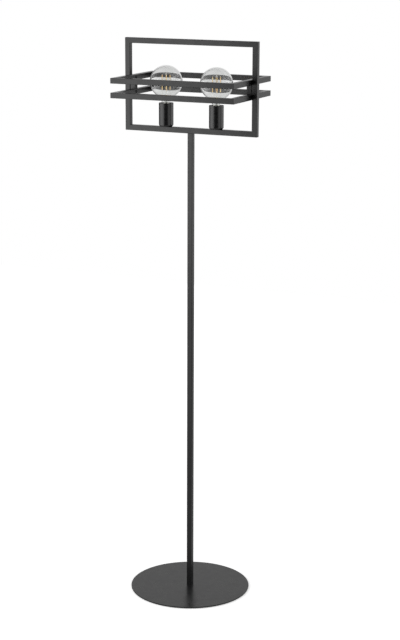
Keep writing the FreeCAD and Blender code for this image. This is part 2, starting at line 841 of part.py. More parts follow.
def make_bulb(side_name, side):
    """Globe bulb seated in its holder, from the centre contact up to the filaments."""
    x = size("holder_spacing") / 2 * side
    bulb = side_name + "_bulb_"
    contact = size("contact_diameter") / 2
    dome = size("contact_thickness") / 2
    turned(bulb + "contact", [
        (ZERO, ZERO),
        (contact - dome, ZERO),
        (contact, dome),
        (contact, size("contact_thickness")),
        (ZERO, size("contact_thickness")),
    ], x=x, z=bulb_floor)

    insulator = size("insulator_diameter") / 2
    turned(bulb + "insulator", [
        (ZERO, insulator_floor),
        (contact + size("cap_bead"), insulator_floor),
        (insulator, insulator_top - size("cap_bead")),
        (insulator, insulator_top),
        (ZERO, insulator_top),
    ], x=x, z=bulb_floor)

    cap_inside = cap_radius - size("cap_wall")
    rim_inside = insulator + size("screw_clearance")
    rim_floor = insulator_top - size("cap_wall")
    turned(bulb + "cap", [
        (rim_inside, rim_floor),
        (cap_radius - size("cap_bead"), rim_floor),
        (cap_radius, rim_floor + size("cap_bead")),
        (cap_radius, size("cap_height")),
        (cap_inside, size("cap_height")),
        (cap_inside, rim_floor + size("cap_bead")),
        (cap_inside - size("cap_bead"), insulator_top),
        (rim_inside, insulator_top),
    ], x=x, z=bulb_floor)

    driver = size("driver_diameter") / 2
    driver_top = insulator_top + size("driver_height")
    turned(bulb + "driver", [
        (ZERO, insulator_top),
        (driver, insulator_top),
        (driver, driver_top),
        (ZERO, driver_top),
    ], x=x, z=bulb_floor)

    make_glass(bulb + "glass", x)

    flare = size("neck_diameter") / 2 - size("glass_wall") - size("screw_clearance")
    stem = size("stem_diameter") / 2
    flare_top = neck_floor + size("stem_flare_height")
    stem_top = filament_top + size("filament_wire") * 2
    turned(bulb + "stem", [
        (ZERO, neck_floor),
        (flare, neck_floor),
        (flare, neck_floor + size("glass_wall")),
        (stem * 2, flare_top),
        (stem, flare_top + stem * 2),
        (stem, stem_top),
        (ZERO, stem_top),
    ], x=x, z=bulb_floor)

    ring = size("filament_ring") / 2
    aim = flat_turn(SIZES["filament_turn"])
    filaments = new_body(bulb + "filaments", x=x, z=bulb_floor, rotation=aim)
    section = new_sketch(filaments, "section", "XY_Plane", filament_floor)
    add_circle(section, size("filament_diameter"), ring)
    first = pad(filaments, section, size("filament_length"))
    repeat_round(filaments, [first], size("filament_count"))

    wires = new_body(bulb + "wires", x=x, z=bulb_floor, rotation=aim)
    wire = size("filament_wire")
    arms = []
    for level, height in (("lower", filament_floor - wire / 2), ("upper", filament_top + wire / 2)):
        arm = new_sketch(wires, level + "_arm", "YZ_Plane", stem)
        add_circle(arm, wire, ZERO, height)
        arms.append(pad(wires, arm, ring - stem + size("filament_diameter") / 2))
    repeat_round(wires, arms, size("filament_count"))


# Wiring inside the bottom rail

def make_wiring():
    """Connector over the cable hole and one lead from it up into each lampholder."""
    rail_floor = frame_floor + tube_wall
    body = new_body("lead_connector", z=rail_floor)
    sketch = new_sketch(body, "block", "XY_Plane")
    add_rectangle(sketch, size("connector_length"), size("connector_width"))
    pad(body, sketch, size("connector_height"))

    start = size("connector_length") / 2
    bend = size("lead_bend")
    holder_x = size("holder_spacing") / 2
    lead_height = rail_floor + size("connector_height") / 2
    roof = sleeve_floor - size("channel_roof")
    rise = roof - lead_height
    for side_name, side in (("left", -1), ("right", 1)):
        lead = new_body(side_name + "_lead", z=lead_height, rotation=flat_turn(90 - 90 * side))
        path = new_sketch(lead, "path", "XZ_Plane")
        turn_x = holder_x - bend
        level_edge = path.addGeometry(Part.LineSegment(
            FreeCAD.Vector(start.number, 0, 0), FreeCAD.Vector(turn_x.number, 0, 0)), False)
        bend_circle = Part.Circle(
            FreeCAD.Vector(turn_x.number, bend.number, 0), FreeCAD.Vector(0, 0, 1), bend.number)
        bend_edge = path.addGeometry(
            Part.ArcOfCircle(bend_circle, -math.pi / 2, 0), False)
        rising_edge = path.addGeometry(Part.LineSegment(
            FreeCAD.Vector(holder_x.number, bend.number, 0),
            FreeCAD.Vector(holder_x.number, rise.number, 0)), False)
        bind_point(path, level_edge, 1, start, ZERO, "start")
        path.addConstraint(Sketcher.Constraint("Horizontal", level_edge))
        path.addConstraint(Sketcher.Constraint("Tangent", level_edge, 2, bend_edge, 1))
        bind(path, "Radius", (bend_edge,), bend, "bend")
        path.addConstraint(Sketcher.Constraint("Tangent", bend_edge, 2, rising_edge, 1))
        path.addConstraint(Sketcher.Constraint("Vertical", rising_edge))
        bind_point(path, rising_edge, 2, holder_x, rise, "end")
        section = new_sketch(lead, "section", "YZ_Plane", start)
        add_circle(section, size("lead_diameter"))
        pipe = lead.newObject("PartDesign::AdditivePipe", side_name + "_lead_pipe")
        pipe.Profile = section
        pipe.Spine = (path, ["Edge1", "Edge2", "Edge3"])
        lead.Tip = pipe
        document.recompute()
        path_length = sum(edge.Length for edge in path.Shape.Edges)
        section_area = math.pi * (size("lead_diameter").number / 2) ** 2
        share = pipe.Shape.Volume / (path_length * section_area)
        print("%s_lead: bend radius %.1f mm, volume %.4f of section times length"
              % (side_name, bend.number, share))


# Checks and files

def check_document():
    """Stop if any object of the document failed or any sub-part is not a sound solid."""
    for thing in document.Objects:
        if "Invalid" in thing.State or "Error" in thing.State:
            raise ValueError("%s failed" % thing.Name)
    for part in parts:
        shape = part.Shape
        if shape.isNull() or not shape.isValid() or not shape.Solids:
            raise ValueError("%s is not a sound solid" % part.Label)


def write_parts():
    """Write each sub-part to its own STEP file."""
    os.makedirs("parts", exist_ok=True)
    for part in parts:
        part.Shape.exportStep("parts/%s.step" % part.Label)


make_base()
make_pads()
make_pole_foot()
make_pole()
make_outlet()
make_spigot()
make_upright_frame()
make_flat_frame("lower", lower_frame_middle)
make_flat_frame("upper", upper_frame_middle)
make_spacers()
make_cage_fasteners()
for side_name, side in (("left", -1), ("right", 1)):
    make_holder(side_name, side)
    make_bulb(side_name, side)
make_wiring()
document.recompute()
check_document()
write_parts()
print("%d sub-parts" % len(parts))
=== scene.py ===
import math

import bmesh
import bpy
from mathutils import Matrix, Vector


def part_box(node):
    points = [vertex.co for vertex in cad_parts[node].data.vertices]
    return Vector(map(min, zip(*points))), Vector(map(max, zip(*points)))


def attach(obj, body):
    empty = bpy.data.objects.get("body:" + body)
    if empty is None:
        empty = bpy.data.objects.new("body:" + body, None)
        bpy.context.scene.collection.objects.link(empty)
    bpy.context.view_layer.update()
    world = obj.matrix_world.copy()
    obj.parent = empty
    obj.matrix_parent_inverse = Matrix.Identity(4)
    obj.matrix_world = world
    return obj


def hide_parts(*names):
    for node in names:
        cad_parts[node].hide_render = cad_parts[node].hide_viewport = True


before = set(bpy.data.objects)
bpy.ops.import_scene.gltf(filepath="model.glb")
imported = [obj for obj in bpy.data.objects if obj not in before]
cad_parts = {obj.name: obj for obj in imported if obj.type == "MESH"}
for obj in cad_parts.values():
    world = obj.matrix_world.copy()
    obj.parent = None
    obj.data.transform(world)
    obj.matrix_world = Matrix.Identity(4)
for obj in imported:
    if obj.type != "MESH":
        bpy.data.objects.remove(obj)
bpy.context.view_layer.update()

# Black floor lamp: round base, square pole, cage of square tube, two clear globe bulbs.
# Metres, in the frame of the solids: the floor is z = 0 and the long side of the cage lies along X.
# Small sizes are written in millimetres times MM.

MM = 0.001
SIDES = ("left", "right")

# Camera, as the photograph was taken: turned round the lamp, looking a little down

CAMERA_PLACE = (2.016, -4.354, 2.008)
CAMERA_AZIMUTH = math.radians(24.51)
CAMERA_PITCH = math.radians(13.55)
CAMERA_ROLL = math.radians(0.21)
CAMERA_LENS = 92.6
CAMERA_FILM = 36.0

# Lighting: a large softbox on each side of the camera, the left one with a weaker skirt below it.
# Turns are degrees round the lamp from the camera's side, glow is the brightness where white is 1.

LEFT_BOX = {"turn": -72.5, "distance": 1.25, "middle": 1.325, "width": 1.6, "height": 1.15, "glow": 2.28}
LEFT_SKIRT = {"turn": -72.5, "distance": 1.25, "middle": 0.41, "width": 1.6, "height": 0.68, "glow": 1.05}
RIGHT_BOX = {"turn": 74, "distance": 2.2, "middle": 1.05, "width": 4.4, "height": 1.7, "glow": 1.10}

# Room, as shares of white: what gloss mirrors behind the lamp and behind the camera, what lights dull
# surfaces, and what shows through glass

ROOM_BACK = 0.74
ROOM_DIM = 0.04
ROOM_FILL = 0.35
ROOM_THROUGH = 0.65

# Where the room turns dim behind the camera, and dark in a corner behind the lamp: each starts and is full
# at these cosines of the angle from its middle

DIM_START = 0.60
DIM_FULL = 0.93
CORNER_TURN = math.radians(-141)
CORNER_SHARE = 0.35
CORNER_START = 0.84
CORNER_FULL = 0.90

# Floor: its glow grows from near the lamp to the edges, so that it stays white where nothing shades it

FLOOR_SIZE = 8.0
FLOOR_TONE = 0.85
FLOOR_NEAR = 0.52
FLOOR_FAR = 0.78
FLOOR_NEAR_REACH = 0.4
FLOOR_FAR_REACH = 2.5

# Globe: its neck and the blend from it to the ball. Widths are radii here and below.
# The wall is thicker than a blown one, so that bars behind the globe look bent through it.

GLASS_WALL = 2.0 * MM
GLASS_PASS = 0.95
NECK_RADIUS = 12.5 * MM
NECK_BLEND = 25 * MM
NECK_SEAT = 11.4 * MM
NECK_SEAT_HEIGHT = 8 * MM

# Stem: flare at the foot, waist, press, rod, and a button at the top; heights from the stem's foot

STEM_FLARE = 10.3 * MM
STEM_LIP = 1.2 * MM
STEM_LIP_HEIGHT = 3.0 * MM
STEM_WAIST = 3.2 * MM
STEM_WAIST_HEIGHT = 9.0 * MM
STEM_PRESS = 2.2 * MM
STEM_PRESS_HEIGHT = 15.0 * MM
STEM_ROD = 1.7 * MM
STEM_SHOULDER = 5.0 * MM
STEM_BUTTON = 2.4 * MM
STEM_BUTTON_DROP = 4.0 * MM
STEM_WALL = 1.0 * MM

# Filaments: coated strips on a ring, with bare flat tabs at their ends and wires to the stem

FILAMENT_RING = 11.5 * MM
FILAMENT_RADIUS = 1.2 * MM
FILAMENT_ROUNDING = 0.6
FILAMENT_COUNT = 4
FILAMENT_TURN = math.radians(30.5)
FILAMENT_TAB = 3.0 * MM
TAB_SHARE = 0.55
TAB_FLATNESS = (0.4, 1.3, 1, 1)
TAB_OVERLAP = 0.4 * MM
WIRE_RADIUS = 0.4 * MM
WIRE_GRIP = 1.0 * MM

# Screw cap: where its thread starts and ends, its rim, and its bead under the glass

CAP_FOOT = 2.2 * MM
CAP_TOP = 3.2 * MM
CAP_RIM = 2.2 * MM
CAP_BEAD = 0.3 * MM
CAP_BEAD_RISE = 0.8 * MM
SHELL_PLAIN = 1.0 * MM

# Screw thread of cap and shell: the thread's depth is twice the swing about its mean radius

THREAD_PITCH = 3.63 * MM
THREAD_MEAN = 12.55 * MM
THREAD_SWING = 0.5 * MM
THREAD_GAP = 0.4 * MM
THREAD_SHEET = 0.3 * MM
THREAD_ROWS = 10

# Cage screws: button heads with a hexagon socket, on the inner faces of the short bars

SCREW_HEAD_RADIUS = 4.0 * MM
SCREW_HEAD_HEIGHT = 2.6 * MM
SCREW_SHANK_RADIUS = 2.0 * MM
SCREW_SOCKET = 1.25 * MM
SCREW_SOCKET_DEPTH = 1.5 * MM
SCREW_EDGE = 0.3 * MM
SCREW_CROWN_STEPS = 8
SCREW_CROWN_LAST = 6

# Meshes: corners sharper than this stay sharp, and radii below this lie on the axis

SHARP_ANGLE = math.radians(32)
ON_AXIS = 1e-7

# Noise: most of it lies between these values

NOISE_LOW = 0.35
NOISE_HIGH = 0.65


# Mesh building

def finish_mesh(name, mesh):
    """Turns a bmesh into an object with smooth faces and sharp corners."""
    bmesh.ops.recalc_face_normals(mesh, faces=mesh.faces[:])
    data = bpy.data.meshes.new(name)
    mesh.to_mesh(data)
    mesh.free()
    data.shade_smooth()
    data.set_sharp_from_angle(angle=SHARP_ANGLE)
    piece = bpy.data.objects.new(name, data)
    bpy.context.scene.collection.objects.link(piece)
    return piece


def arc(centre, radius, start, end, steps):
    """Points (radius, height) along an arc between two angles, in radians from the outward direction."""
    points = []
    for step in range(steps + 1):
        angle = start + (end - start) * step / steps
        points.append((centre[0] + radius * math.cos(angle), centre[1] + radius * math.sin(angle)))
    return points


def add_ring(mesh, place, radius, height, segments, shape):
    """The vertices of one ring round the place's Z axis, or a single one on the axis."""
    if radius < ON_AXIS:
        return [mesh.verts.new(place @ Vector((0, 0, height)))]
    ring = []
    for step in range(segments):
        angle = math.tau * step / segments
        reach = shape(radius, height, angle) if shape else radius
        point = Vector((reach * math.cos(angle), reach * math.sin(angle), height))
        ring.append(mesh.verts.new(place @ point))
    return ring


def join_rings(mesh, lower, upper):
    """Faces between two rings, either of which may be a single vertex."""
    count = max(len(lower), len(upper))
    if count == 1:
        return
    for step in range(count):
        after = (step + 1) % count
        if len(lower) == 1:
            mesh.faces.new((lower[0], upper[after], upper[step]))
        elif len(upper) == 1:
            mesh.faces.new((lower[step], lower[after], upper[0]))
        else:
            mesh.faces.new((lower[step], lower[after], upper[after], upper[step]))


def turned(name, outline, places, segments, shape=None):
    """A closed outline of (radius, height) points turned about the Z axis of each place, as one mesh."""
    mesh = bmesh.new()
    for place in places:
        rings = [add_ring(mesh, place, radius, height, segments, shape) for radius, height in outline]
        for lower, upper in zip(rings, rings[1:] + rings[:1]):
            join_rings(mesh, lower, upper)
    return finish_mesh(name, mesh)


def upright(x, y=0.0):
    """A place on the floor whose axis is vertical."""
    return Matrix.Translation((x, y, 0))


def facing(point, direction):
    """A place at a point whose axis looks along a direction."""
    return Matrix.Translation(point) @ Vector(direction).to_track_quat("Z", "Y").to_matrix().to_4x4()


def hexagon(apothem):
    """A turned shape whose ring of this radius becomes a hexagon."""
    def shape(radius, height, angle):
        if abs(radius - apothem) > ON_AXIS:
            return radius
        return apothem / math.cos(angle % (math.pi / 3) - math.pi / 6)
    return shape


def wires(name, routes, radius):
    """Round wires along smooth curves, one spline for each route."""
    data = bpy.data.curves.new(name, "CURVE")
    data.dimensions = "3D"
    data.bevel_depth = radius
    data.bevel_resolution = 3
    data.use_fill_caps = True
    for route in routes:
        spline = data.splines.new("NURBS")
        spline.points.add(len(route) - 1)
        for knot, point in zip(spline.points, route):
            knot.co = (*point, 1)
        spline.order_u = 3
        spline.use_endpoint_u = True
    piece = bpy.data.objects.new(name, data)
    bpy.context.scene.collection.objects.link(piece)
    return piece


def settle(piece, material, body, slot, *nodes):
    """Gives a piece its material and the body it moves with, and hides the nodes it stands for. The slot
    argument is not used.
    """
    piece.data.materials.append(material)
    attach(piece, body)
    if nodes:
        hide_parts(*nodes)


# Material building

def start_material(name, colour, roughness, metallic=0.0, ior=1.5):
    """A material with one Principled shader, its even values set on the sockets."""
    material = bpy.data.materials.new(name)
    material.use_nodes = True
    shader = material.node_tree.nodes["Principled BSDF"]
    shader.inputs["Base Color"].default_value = (*colour, 1)
    shader.inputs["Roughness"].default_value = roughness
    shader.inputs["Metallic"].default_value = metallic
    shader.inputs["IOR"].default_value = ior
    return material, material.node_tree, shader


def noise(tree, grain, detail=2.0, stretch=(1, 1, 1)):
    """Noise whose lumps are about grain metres across, fixed to the piece."""
    place = tree.nodes.new("ShaderNodeTexCoord")
    scale = tree.nodes.new("ShaderNodeMapping")
    scale.inputs["Scale"].default_value = tuple(part / grain for part in stretch)
    texture = tree.nodes.new("ShaderNodeTexNoise")
    texture.inputs["Scale"].default_value = 1.0
    texture.inputs["Detail"].default_value = detail
    tree.links.new(place.outputs["Object"], scale.inputs["Vector"])
    tree.links.new(scale.outputs["Vector"], texture.inputs["Vector"])
    return texture.outputs["Fac"]


def spread(tree, value, low, high, start=NOISE_LOW, end=NOISE_HIGH):
    """The value, with start to end stretched over low to high."""
    spreader = tree.nodes.new("ShaderNodeMapRange")
    spreader.inputs["From Min"].default_value = start
    spreader.inputs["From Max"].default_value = end
    spreader.inputs["To Min"].default_value = low
    spreader.inputs["To Max"].default_value = high
    tree.links.new(value, spreader.inputs["Value"])
    return spreader.outputs["Result"]


def blend_colours(tree, value, first, second):
    """The first colour where the value is low, the second where it is high."""
    ramp = tree.nodes.new("ShaderNodeValToRGB")
    ramp.color_ramp.elements[0].position = NOISE_LOW
    ramp.color_ramp.elements[0].color = (*first, 1)
    ramp.color_ramp.elements[1].position = NOISE_HIGH
    ramp.color_ramp.elements[1].color = (*second, 1)
    tree.links.new(value, ramp.inputs["Fac"])
    return ramp.outputs["Color"]


def relief(tree, shader, value, height):
    """Fine relief of this height in metres."""
    bump = tree.nodes.new("ShaderNodeBump")
    bump.inputs["Distance"].default_value = height
    tree.links.new(value, bump.inputs["Height"])
    tree.links.new(bump.outputs["Normal"], shader.inputs["Normal"])


def speckled(name, first, second, grain, roughness, change=0.03, metallic=0.0, ior=1.5,
             texture=0.0008, height=0.00001, stretch=(1, 1, 1)):
    """A surface between two close colours, with uneven gloss and a fine texture."""
    material, tree, shader = start_material(name, first, roughness, metallic, ior)
    patches = noise(tree, grain, 3.0, stretch)
    tree.links.new(blend_colours(tree, patches, first, second), shader.inputs["Base Color"])
    tree.links.new(spread(tree, patches, roughness - change, roughness + change), shader.inputs["Roughness"])
    relief(tree, shader, noise(tree, texture, 2.0, stretch), height)
    return material


def powder_coat():
    """Black powder coat: satin, with a faint orange peel."""
    return speckled("powder_coat_black", (0.0006, 0.0006, 0.0008), (0.0015, 0.0015, 0.0018), 0.020,
                    roughness=0.30, ior=1.45, texture=0.0012, height=0.000012)


def cup_paint():
    """Black paint of the lampholder cups, a little smoother than the powder coat."""
    return speckled("cup_paint_black", (0.0021, 0.0021, 0.0025), (0.0034, 0.0033, 0.0038), 0.012,
                    roughness=0.30, ior=1.47, texture=0.0009, height=0.000006)


def see_through(tree, shader):
    """Lets the lamps' light pass the glass to what stands behind or inside it."""
    paths = tree.nodes.new("ShaderNodeLightPath")
    clear = tree.nodes.new("ShaderNodeBsdfTransparent")
    clear.inputs["Color"].default_value = (GLASS_PASS, GLASS_PASS, GLASS_PASS, 1)
    mix = tree.nodes.new("ShaderNodeMixShader")
    tree.links.new(paths.outputs["Is Shadow Ray"], mix.inputs["Fac"])
    tree.links.new(shader.outputs["BSDF"], mix.inputs[1])
    tree.links.new(clear.outputs["BSDF"], mix.inputs[2])
    tree.links.new(mix.outputs["Shader"], tree.nodes["Material Output"].inputs["Surface"])


def bulb_glass():
    """Clear blown glass, faintly wavy."""
    clear = (0.98, 0.99, 0.98)
    material, tree, shader = start_material("bulb_glass_clear", clear, 0.0, ior=1.4)
    shader.inputs["Transmission Weight"].default_value = 1.0
    waves = noise(tree, 0.040, 1.0)
    tint = blend_colours(tree, waves, clear, (1.0, 1.0, 1.0))
    tree.links.new(tint, shader.inputs["Base Color"])
    relief(tree, shader, waves, 0.00002)
    see_through(tree, shader)
    return material


def stem_glass():
    """Clear glass of the stem, faintly green and streaky."""
    material, tree, shader = start_material("stem_glass_clear", (0.90, 0.93, 0.90), 0.02, ior=1.2)
    shader.inputs["Transmission Weight"].default_value = 1.0
    streaks = noise(tree, 0.004, 1.0, (1, 1, 0.2))
    tint = blend_colours(tree, streaks, (0.86, 0.90, 0.86), (0.93, 0.95, 0.93))
    tree.links.new(tint, shader.inputs["Base Color"])
    see_through(tree, shader)
    return material


def phosphor():
    """Cream phosphor coat of an unlit filament, amber where it is thin."""
    material, tree, shader = start_material("filament_phosphor", (0.85, 0.63, 0.31), 0.45)
    lumps = noise(tree, 0.0022, 2.0, (1, 1, 0.5))
    tint = blend_colours(tree, lumps, (0.78, 0.52, 0.20), (0.92, 0.74, 0.42))
    tree.links.new(tint, shader.inputs["Base Color"])
    shader.inputs["Subsurface Weight"].default_value = 0.3
    shader.inputs["Subsurface Radius"].default_value = (0.0009, 0.0006, 0.0003)
    shader.inputs["Subsurface Scale"].default_value = 1.0
    relief(tree, shader, lumps, 0.00005)
    return material


def metal(name, first, second, roughness, grain=0.004, stretch=(1, 1, 1)):
    """Bare or plated metal with fine drawing marks."""
    return speckled(name, first, second, grain, roughness, change=0.06, metallic=1.0,
                    texture=0.0005, height=0.000006, stretch=stretch)


def room_floor():
    """White paper floor: white where nothing shades it, with the lamp's shadow kept."""
    material, tree, shader = start_material("floor_paper", (FLOOR_TONE,) * 3, 1.0)
    material.cycles.emission_sampling = "NONE"
    shader.inputs["Specular IOR Level"].default_value = 0.0
    paths = tree.nodes.new("ShaderNodeLightPath")
    glow = tree.nodes.new("ShaderNodeEmission")
    both_lights = tree.nodes.new("ShaderNodeAddShader")
    output = tree.nodes["Material Output"]

    def combine(operation, first, second):
        """A product or maximum of two sockets."""
        step = tree.nodes.new("ShaderNodeMath")
        step.operation = operation
        tree.links.new(first, step.inputs[0])
        tree.links.new(second, step.inputs[1])
        return step.outputs["Value"]

    place = tree.nodes.new("ShaderNodeTexCoord")
    reach = tree.nodes.new("ShaderNodeVectorMath")
    reach.operation = "LENGTH"
    tree.links.new(place.outputs["Object"], reach.inputs[0])
    bright = spread(tree, reach.outputs["Value"], FLOOR_NEAR, FLOOR_FAR, FLOOR_NEAR_REACH, FLOOR_FAR_REACH)
    through = tree.nodes.new("ShaderNodeMath")
    through.operation = "MULTIPLY"
    through.inputs[1].default_value = ROOM_THROUGH
    tree.links.new(paths.outputs["Is Transmission Ray"], through.inputs[0])
    seen = combine("MAXIMUM", paths.outputs["Is Camera Ray"], through.outputs["Value"])
    tree.links.new(combine("MULTIPLY", seen, bright), glow.inputs["Strength"])
    tree.links.new(shader.outputs["BSDF"], both_lights.inputs[0])
    tree.links.new(glow.outputs["Emission"], both_lights.inputs[1])
    tree.links.new(both_lights.outputs["Shader"], output.inputs["Surface"])
    return material


# The room

def make_camera():
    """The camera of the photograph."""
    data = bpy.data.cameras.new("camera")
    data.lens = CAMERA_LENS
    data.sensor_width = CAMERA_FILM
    data.clip_end = 200
    camera = bpy.data.objects.new("camera", data)
    aim = (Matrix.Rotation(CAMERA_AZIMUTH, 4, "Z")
           @ Matrix.Rotation(math.pi / 2 - CAMERA_PITCH, 4, "X")
           @ Matrix.Rotation(CAMERA_ROLL, 4, "Z"))
    camera.matrix_world = Matrix.Translation(CAMERA_PLACE) @ aim
    bpy.context.scene.collection.objects.link(camera)
    bpy.context.scene.camera = camera


def make_softbox(name, turn, distance, middle, width, height, glow):
    """A rectangular soft light, turned round the lamp from the camera's side. Neither the camera nor the
    glass shows it."""
    data = bpy.data.lights.new(name, "AREA")
    data.shape = "RECTANGLE"
    data.size = width
    data.size_y = height
    data.energy = glow * math.pi * width * height
    light = bpy.data.objects.new(name, data)
    around = CAMERA_AZIMUTH + math.radians(turn)
    direction = Vector((math.sin(around), -math.cos(around), 0))
    light.location = direction * distance + Vector((0, 0, middle))
    light.rotation_euler = direction.to_track_quat("Z", "Y").to_euler()
    light.visible_camera = False
    light.visible_transmission = False
    bpy.context.scene.collection.objects.link(light)


def make_floor():
    """A wide plain floor."""
    mesh = bmesh.new()
    half = FLOOR_SIZE / 2
    corners = ((-half, -half), (half, -half), (half, half), (-half, half))
    mesh.faces.new([mesh.verts.new((x, y, 0)) for x, y in corners])
    floor = finish_mesh("floor", mesh)
    floor.data.materials.append(room_floor())


def make_room():
    """The world: white to the camera and a little greyer through glass. In gloss it is pale behind the
    lamp, dim behind the camera, and dark in a corner behind the lamp on the left."""
    world = bpy.data.worlds.new("room")
    bpy.context.scene.world = world
    world.use_nodes = True
    tree = world.node_tree
    background = tree.nodes["Background"]
    direction = tree.nodes.new("ShaderNodeTexCoord")

    def towards(turn):
        """How far a ray points this way, turned round the lamp from the camera's side."""
        share = tree.nodes.new("ShaderNodeVectorMath")
        share.operation = "DOT_PRODUCT"
        around = CAMERA_AZIMUTH + turn
        share.inputs[1].default_value = (math.sin(around), -math.cos(around), 0)
        tree.links.new(direction.outputs["Generated"], share.inputs[0])
        return share.outputs["Value"]

    wall = spread(tree, towards(0), ROOM_BACK, ROOM_DIM, DIM_START, DIM_FULL)
    corner = spread(tree, towards(CORNER_TURN), 1.0, CORNER_SHARE, CORNER_START, CORNER_FULL)
    mirrored = tree.nodes.new("ShaderNodeMath")
    mirrored.operation = "MULTIPLY"
    tree.links.new(wall, mirrored.inputs[0])
    tree.links.new(corner, mirrored.inputs[1])
    paths = tree.nodes.new("ShaderNodeLightPath")

    def choose(test, otherwise, when):
        """The value called when for rays that pass the test, and the value called otherwise for the rest."""
        pick = tree.nodes.new("ShaderNodeMix")
        tree.links.new(test, pick.inputs["Factor"])
        for socket, value in (("A", otherwise), ("B", when)):
            if isinstance(value, float):
                pick.inputs[socket].default_value = value
            else:
                tree.links.new(value, pick.inputs[socket])
        return pick.outputs["Result"]

    strength = choose(paths.outputs["Is Diffuse Ray"], mirrored.outputs["Value"], ROOM_FILL)
    strength = choose(paths.outputs["Is Transmission Ray"], strength, ROOM_THROUGH)
    strength = choose(paths.outputs["Is Camera Ray"], strength, 1.0)
    background.inputs["Color"].default_value = (1, 1, 1, 1)
    tree.links.new(strength, background.inputs["Strength"])


# Bulbs

def globe_outline(centre, radius, neck, blend, seat, floor):
    """Section of a globe and its neck: neck seat, hollow blend, ball up to the crown."""
    blend_reach = neck + blend
    drop = math.sqrt((radius + blend) ** 2 - blend_reach ** 2)
    lean = math.atan2(drop, blend_reach)
    outline = [(seat, floor), (seat, floor + NECK_SEAT_HEIGHT)]
    outline += arc((blend_reach, centre - drop), blend, math.pi, math.pi - lean, steps=14)
    outline += arc((0, centre), radius, -lean, math.pi / 2, steps=56)[1:-1]
    outline.append((0, centre + radius))
    return outline


def make_globe(side, axis, body, material):
    """Blown globe, open at the neck. Mirrored rays leave it out, which keeps grain off the bars behind it."""
    low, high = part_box(side + "_bulb_glass")
    radius = high.x - axis
    centre = high.z - radius
    outer = globe_outline(centre, radius, NECK_RADIUS, NECK_BLEND, NECK_SEAT, low.z)
    inner = globe_outline(centre, radius - GLASS_WALL, NECK_RADIUS - GLASS_WALL, NECK_BLEND + GLASS_WALL,
                          NECK_SEAT - GLASS_WALL, low.z)
    piece = turned(side + "_globe", outer + inner[::-1], [upright(axis)], segments=128)
    settle(piece, material, body, "bulb_glass", side + "_bulb_glass")
    piece.visible_glossy = False


def make_stem(side, axis, body, material):
    """Glass stem: a hollow flare, the press, a slim rod and a button. Mirrored rays leave it out."""
    low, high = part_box(side + "_bulb_stem")
    press = low.z + STEM_PRESS_HEIGHT
    outline = [
        (STEM_FLARE, low.z),
        (STEM_FLARE - STEM_LIP, low.z + STEM_LIP_HEIGHT),
        (STEM_WAIST, low.z + STEM_WAIST_HEIGHT),
        (STEM_PRESS, press - STEM_WALL * 2),
        (STEM_PRESS, press + STEM_WALL),
        (STEM_ROD, press + STEM_SHOULDER),
        (STEM_ROD, high.z - STEM_BUTTON_DROP),
    ]
    outline += arc((0, high.z - STEM_BUTTON), STEM_BUTTON, -math.pi / 4, math.pi / 2, steps=8)[:-1]
    outline += [
        (0, high.z),
        (0, press - STEM_WALL * 4),
        (STEM_PRESS - STEM_WALL, press - STEM_WALL * 7),
        (STEM_FLARE - STEM_LIP - STEM_WALL, low.z + STEM_LIP_HEIGHT * 0.8),
        (STEM_FLARE - STEM_WALL * 0.8, low.z),
    ]
    piece = turned(side + "_stem", outline, [upright(axis)], segments=40)
    settle(piece, material, body, "stem_glass", side + "_bulb_stem")
    piece.visible_glossy = False


def filament_places(axis):
    """The filaments' axes, evenly spread on their ring."""
    places = []
    for number in range(FILAMENT_COUNT):
        angle = FILAMENT_TURN + math.tau * number / FILAMENT_COUNT
        places.append((axis + FILAMENT_RING * math.cos(angle), FILAMENT_RING * math.sin(angle), angle))
    return places


def make_strips(side, axis, body, material):
    """Coated filament strips with rounded ends."""
    low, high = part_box(side + "_bulb_filaments")
    foot = low.z + FILAMENT_TAB
    top = high.z - FILAMENT_TAB
    rounding = FILAMENT_RADIUS * FILAMENT_ROUNDING
    half = math.pi / 2
    outline = [(0, foot)]
    outline += arc((FILAMENT_RADIUS - rounding, foot + rounding), rounding, -half, 0, steps=4)
    outline += arc((FILAMENT_RADIUS - rounding, top - rounding), rounding, 0, half, steps=4)
    outline.append((0, top))
    places = [upright(x, y) for x, y, _ in filament_places(axis)]
    strips = turned(side + "_filament_strips", outline, places, segments=20)
    settle(strips, material, body, "filament", side + "_bulb_filaments")


def make_tabs(side, axis, body, material):
    """Bare flat tabs at both ends of the filament strips."""
    low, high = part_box(side + "_bulb_filaments")
    width = FILAMENT_RADIUS * TAB_SHARE
    length = FILAMENT_TAB + TAB_OVERLAP
    outline = [(0, low.z), (width, low.z), (width, low.z + length), (0, low.z + length)]
    lower = [upright(x, y) @ Matrix.Rotation(angle, 4, "Z") @ Matrix.Diagonal(TAB_FLATNESS)
             for x, y, angle in filament_places(axis)]
    lift = Matrix.Translation((0, 0, high.z - length - low.z))
    upper = [lift @ place for place in lower]
    tabs = turned(side + "_filament_tabs", outline, lower + upper, segments=12)
    settle(tabs, material, body, "filament_wire")


